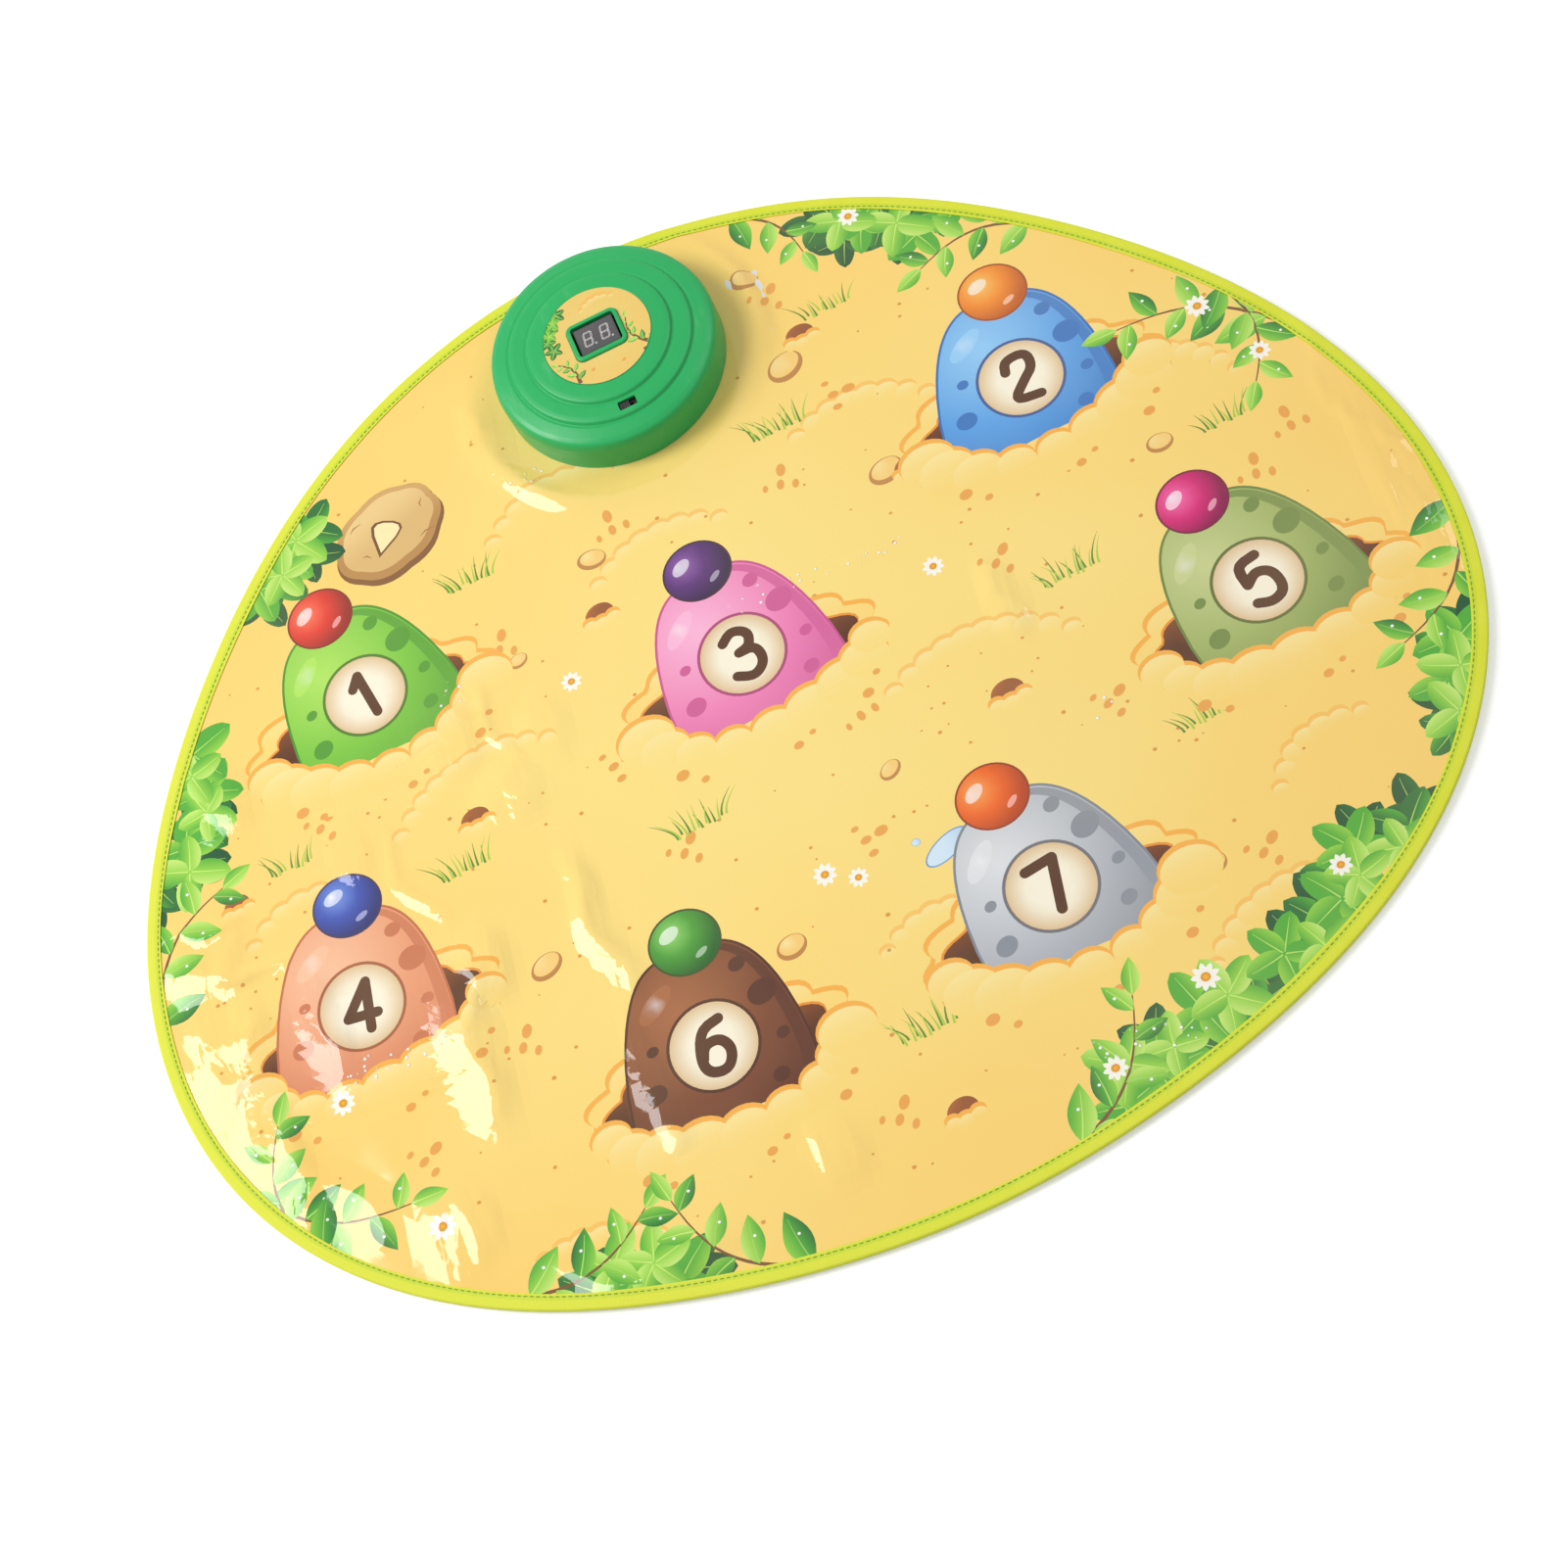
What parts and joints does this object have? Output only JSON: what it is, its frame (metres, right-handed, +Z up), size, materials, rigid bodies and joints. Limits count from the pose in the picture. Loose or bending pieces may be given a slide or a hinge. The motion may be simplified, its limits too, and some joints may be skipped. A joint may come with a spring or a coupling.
{
  "type": "whack-a-mole play mat",
  "caption": "Bound floor play mat with sealed hit spots under printed round targets, and a domed round sound unit with a digit display, slide switch, speaker and battery box.",
  "frame": {"origin": "on the floor, under the middle of the mat's outline", "axes": "+X along the mat's width, +Y from the player's edge towards the sound unit, +Z up"},
  "size_m": [0.78, 0.65, 0.0407],
  "materials": {
    "printed_vinyl": "clear glossy film over a print on soft vinyl",
    "binding_tape": "woven satin tape, stitched",
    "backing_cloth": "non-woven cloth",
    "clear_film": "clear polyester film with printed tracks",
    "foam": "closed-cell foam sheet",
    "carbon_print": "carbon ink on film",
    "green_plastic": "moulded plastic with a soft sheen",
    "label_print": "printed film label",
    "display_block": "dark face with pale segments",
    "circuit_board": "solder mask",
    "chip_epoxy": "cast epoxy blob",
    "capacitor_sleeve": "shrunk sleeve",
    "black_plastic": "moulded, matt",
    "cell_jacket": "plain printed jacket",
    "plated_steel": "bright plating",
    "speaker_paper": "pressed paper or film cone",
    "white_plastic": "moulded, plain",
    "black_wire": "insulated wire",
    "red_wire": "insulated wire",
    "yellow_wire": "insulated wire",
    "blue_wire": "insulated wire"
  },
  "bodies": {
    "mat_and_sound_unit": {"printed_cover": "printed_vinyl", "upper_contact_film": "clear_film", "spacer_foam": "foam", "lower_contact_film": "clear_film", "backing_sheet": "backing_cloth", "edge_binding": "binding_tape", "upper_casing": "green_plastic", "lower_casing": "green_plastic", "casing_screw_1": "plated_steel", "casing_screw_2": "plated_steel", "casing_screw_3": "plated_steel", "casing_screw_4": "plated_steel", "board_screw_1": "plated_steel", "board_screw_2": "plated_steel", "board_screw_3": "plated_steel", "board_screw_4": "plated_steel", "panel_label": "label_print", "display_module": "display_block", "main_board": "circuit_board", "sound_chip": "chip_epoxy", "capacitor": "capacitor_sleeve", "switch_body": "black_plastic", "cell_1": "cell_jacket", "cell_2": "cell_jacket", "cell_3": "cell_jacket", "contact_minus": "plated_steel", "contact_bridge_1": "plated_steel", "contact_bridge_2": "plated_steel", "contact_plus": "plated_steel", "cell_spring_1": "plated_steel", "cell_spring_2": "plated_steel", "cell_spring_3": "plated_steel", "speaker_frame": "plated_steel", "speaker_cone": "speaker_paper", "film_tail": "clear_film", "tail_clamp": "white_plastic", "battery_lead_minus": "black_wire", "battery_lead_plus": "red_wire", "speaker_lead_left": "yellow_wire", "speaker_lead_right": "blue_wire"},
    "hit_pad_1": {"hit_pad_1": "carbon_print"},
    "hit_pad_2": {"hit_pad_2": "carbon_print"},
    "hit_pad_3": {"hit_pad_3": "carbon_print"},
    "hit_pad_4": {"hit_pad_4": "carbon_print"},
    "hit_pad_5": {"hit_pad_5": "carbon_print"},
    "hit_pad_6": {"hit_pad_6": "carbon_print"},
    "hit_pad_7": {"hit_pad_7": "carbon_print"},
    "start_pad": {"start_pad": "carbon_print"},
    "switch_knob": {"switch_knob": "black_plastic"},
    "battery_door": {"battery_door": "green_plastic", "door_screw": "plated_steel"}
  },
  "joints": [
    {"name": "hit_pad_1_press", "type": "slide", "parent": "mat_and_sound_unit", "child": "hit_pad_1", "axis": [0, 0, -1], "range_m": [0, 0.0006], "stiffness_N_per_m": 2500},
    {"name": "hit_pad_2_press", "type": "slide", "parent": "mat_and_sound_unit", "child": "hit_pad_2", "axis": [0, 0, -1], "range_m": [0, 0.0006], "stiffness_N_per_m": 2500},
    {"name": "hit_pad_3_press", "type": "slide", "parent": "mat_and_sound_unit", "child": "hit_pad_3", "axis": [0, 0, -1], "range_m": [0, 0.0006], "stiffness_N_per_m": 2500},
    {"name": "hit_pad_4_press", "type": "slide", "parent": "mat_and_sound_unit", "child": "hit_pad_4", "axis": [0, 0, -1], "range_m": [0, 0.0006], "stiffness_N_per_m": 2500},
    {"name": "hit_pad_5_press", "type": "slide", "parent": "mat_and_sound_unit", "child": "hit_pad_5", "axis": [0, 0, -1], "range_m": [0, 0.0006], "stiffness_N_per_m": 2500},
    {"name": "hit_pad_6_press", "type": "slide", "parent": "mat_and_sound_unit", "child": "hit_pad_6", "axis": [0, 0, -1], "range_m": [0, 0.0006], "stiffness_N_per_m": 2500},
    {"name": "hit_pad_7_press", "type": "slide", "parent": "mat_and_sound_unit", "child": "hit_pad_7", "axis": [0, 0, -1], "range_m": [0, 0.0006], "stiffness_N_per_m": 2500},
    {"name": "start_pad_press", "type": "slide", "parent": "mat_and_sound_unit", "child": "start_pad", "axis": [0, 0, -1], "range_m": [0, 0.0006], "stiffness_N_per_m": 2500},
    {"name": "switch_slide", "type": "slide", "parent": "mat_and_sound_unit", "child": "switch_knob", "axis": [1, 0, 0], "range_m": [0, 0.004]},
    {"name": "battery_door_removal", "type": "slide", "parent": "mat_and_sound_unit", "child": "battery_door", "axis": [0, 0, -1], "range_m": [0, 0.02]}
  ]
}
